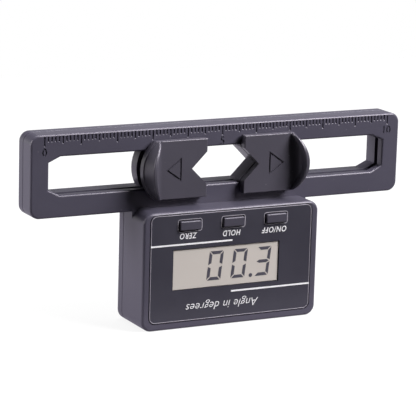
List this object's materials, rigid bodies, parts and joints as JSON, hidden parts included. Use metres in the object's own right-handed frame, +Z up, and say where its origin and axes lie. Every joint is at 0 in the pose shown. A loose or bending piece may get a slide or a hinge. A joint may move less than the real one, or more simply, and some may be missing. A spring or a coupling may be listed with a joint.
{
  "type": "digital pitch gauge",
  "caption": "Slotted bar with two sprung notched jaws over a small display housing with three keys, for reading the pitch angle of a clamped blade.",
  "frame": {"origin": "middle of the footprint's box, on the surface that the display housing stands on", "axes": "+Z up, +X along the slotted bar, -Y towards the display's front"},
  "size_m": [0.1076, 0.016, 0.0519],
  "materials": {
    "housing_plastic": "fine moulded texture, black ABS",
    "jaw_plastic": "fine moulded texture, black ABS",
    "face_print": "black printed polycarbonate",
    "key_plastic": "moulded black ABS",
    "display_glass": "reflective display behind a matt polariser",
    "connector_rubber": "layered silicone",
    "board_laminate": "green solder mask",
    "chip_epoxy": "moulded epoxy",
    "switch_body": "moulded nylon",
    "cell_steel": "nickel plated can",
    "contact_steel": "nickel plated strip",
    "spring_steel": "drawn spring wire",
    "screw_steel": "blackened steel"
  },
  "bodies": {
    "housing": {"front_shell": "housing_plastic", "back_shell": "housing_plastic", "face_plate": "face_print", "display_glass": "display_glass", "display_connector": "connector_rubber", "circuit_board": "board_laminate", "controller_chip": "chip_epoxy", "tilt_sensor": "chip_epoxy", "coin_cell": "cell_steel", "negative_contact": "contact_steel", "positive_contact": "contact_steel", "shell_screws": "screw_steel", "board_screws": "screw_steel", "zero_switch": "switch_body", "hold_switch": "switch_body", "on_off_switch": "switch_body", "left_jaw_spring": "spring_steel", "right_jaw_spring": "spring_steel"},
    "left_jaw": {"left_jaw_plate": "jaw_plastic", "left_jaw_slider": "jaw_plastic", "left_jaw_screws": "screw_steel"},
    "right_jaw": {"right_jaw_plate": "jaw_plastic", "right_jaw_slider": "jaw_plastic", "right_jaw_screws": "screw_steel"},
    "zero_key": {"zero_button": "key_plastic"},
    "hold_key": {"hold_button": "key_plastic"},
    "on_off_key": {"on_off_button": "key_plastic"},
    "door": {"battery_door": "housing_plastic"}
  },
  "joints": [
    {"name": "left_jaw_slide", "type": "slide", "parent": "housing", "child": "left_jaw", "axis": [-1, 0, 0], "range_m": [0, 0.023], "stiffness_N_per_m": 50, "springref_m": -0.01, "deforming": ["left_jaw_spring"]},
    {"name": "right_jaw_slide", "type": "slide", "parent": "housing", "child": "right_jaw", "axis": [1, 0, 0], "range_m": [0, 0.023], "stiffness_N_per_m": 50, "springref_m": -0.01, "deforming": ["right_jaw_spring"]},
    {"name": "zero_press", "type": "slide", "parent": "housing", "child": "zero_key", "axis": [0, 1, 0], "range_m": [0, 0.0003], "stiffness_N_per_m": 800, "springref_m": -0.0006},
    {"name": "hold_press", "type": "slide", "parent": "housing", "child": "hold_key", "axis": [0, 1, 0], "range_m": [0, 0.0003], "stiffness_N_per_m": 800, "springref_m": -0.0006},
    {"name": "on_off_press", "type": "slide", "parent": "housing", "child": "on_off_key", "axis": [0, 1, 0], "range_m": [0, 0.0003], "stiffness_N_per_m": 800, "springref_m": -0.0006},
    {"name": "door_slide", "type": "slide", "parent": "housing", "child": "door", "axis": [0, 0, -1], "range_m": [0, 0.012]}
  ]
}
